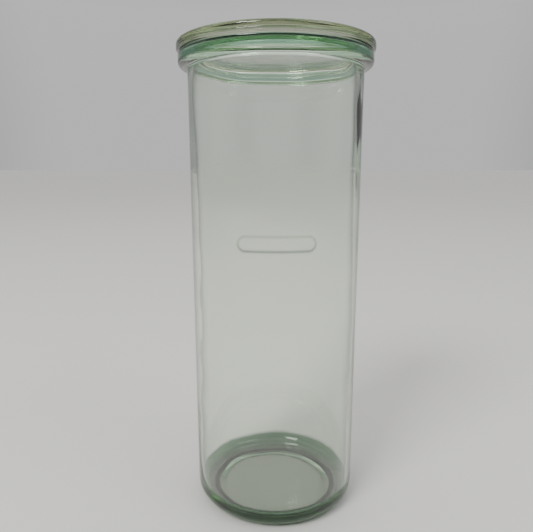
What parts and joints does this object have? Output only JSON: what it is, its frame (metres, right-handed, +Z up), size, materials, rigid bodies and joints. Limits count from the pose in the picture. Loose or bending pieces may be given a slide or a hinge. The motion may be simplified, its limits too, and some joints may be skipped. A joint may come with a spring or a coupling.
{
  "type": "lidded glass canister",
  "caption": "Tall straight clear glass storage canister with a bead rim and a loose flat glass lid that lifts off.",
  "frame": {"origin": "centre of the jar's foot, on the surface that it stands on", "axes": "+Z up along the axis of the jar and lid, -Y towards the front with the blank plate"},
  "size_m": [0.11, 0.11, 0.267],
  "materials": {
    "jar_glass": "clear pressed glass, faint green tint where thick, fire-polished",
    "lid_glass": "clear pressed glass, green tint at the edge, fire-polished"
  },
  "bodies": {
    "jar": {"glass_jar": "jar_glass"},
    "lid": {"glass_lid": "lid_glass"}
  },
  "joints": [
    {"name": "lid_lift", "type": "slide", "parent": "jar", "child": "lid", "axis": [0, 0, 1], "range_m": [0, 0.12]}
  ]
}
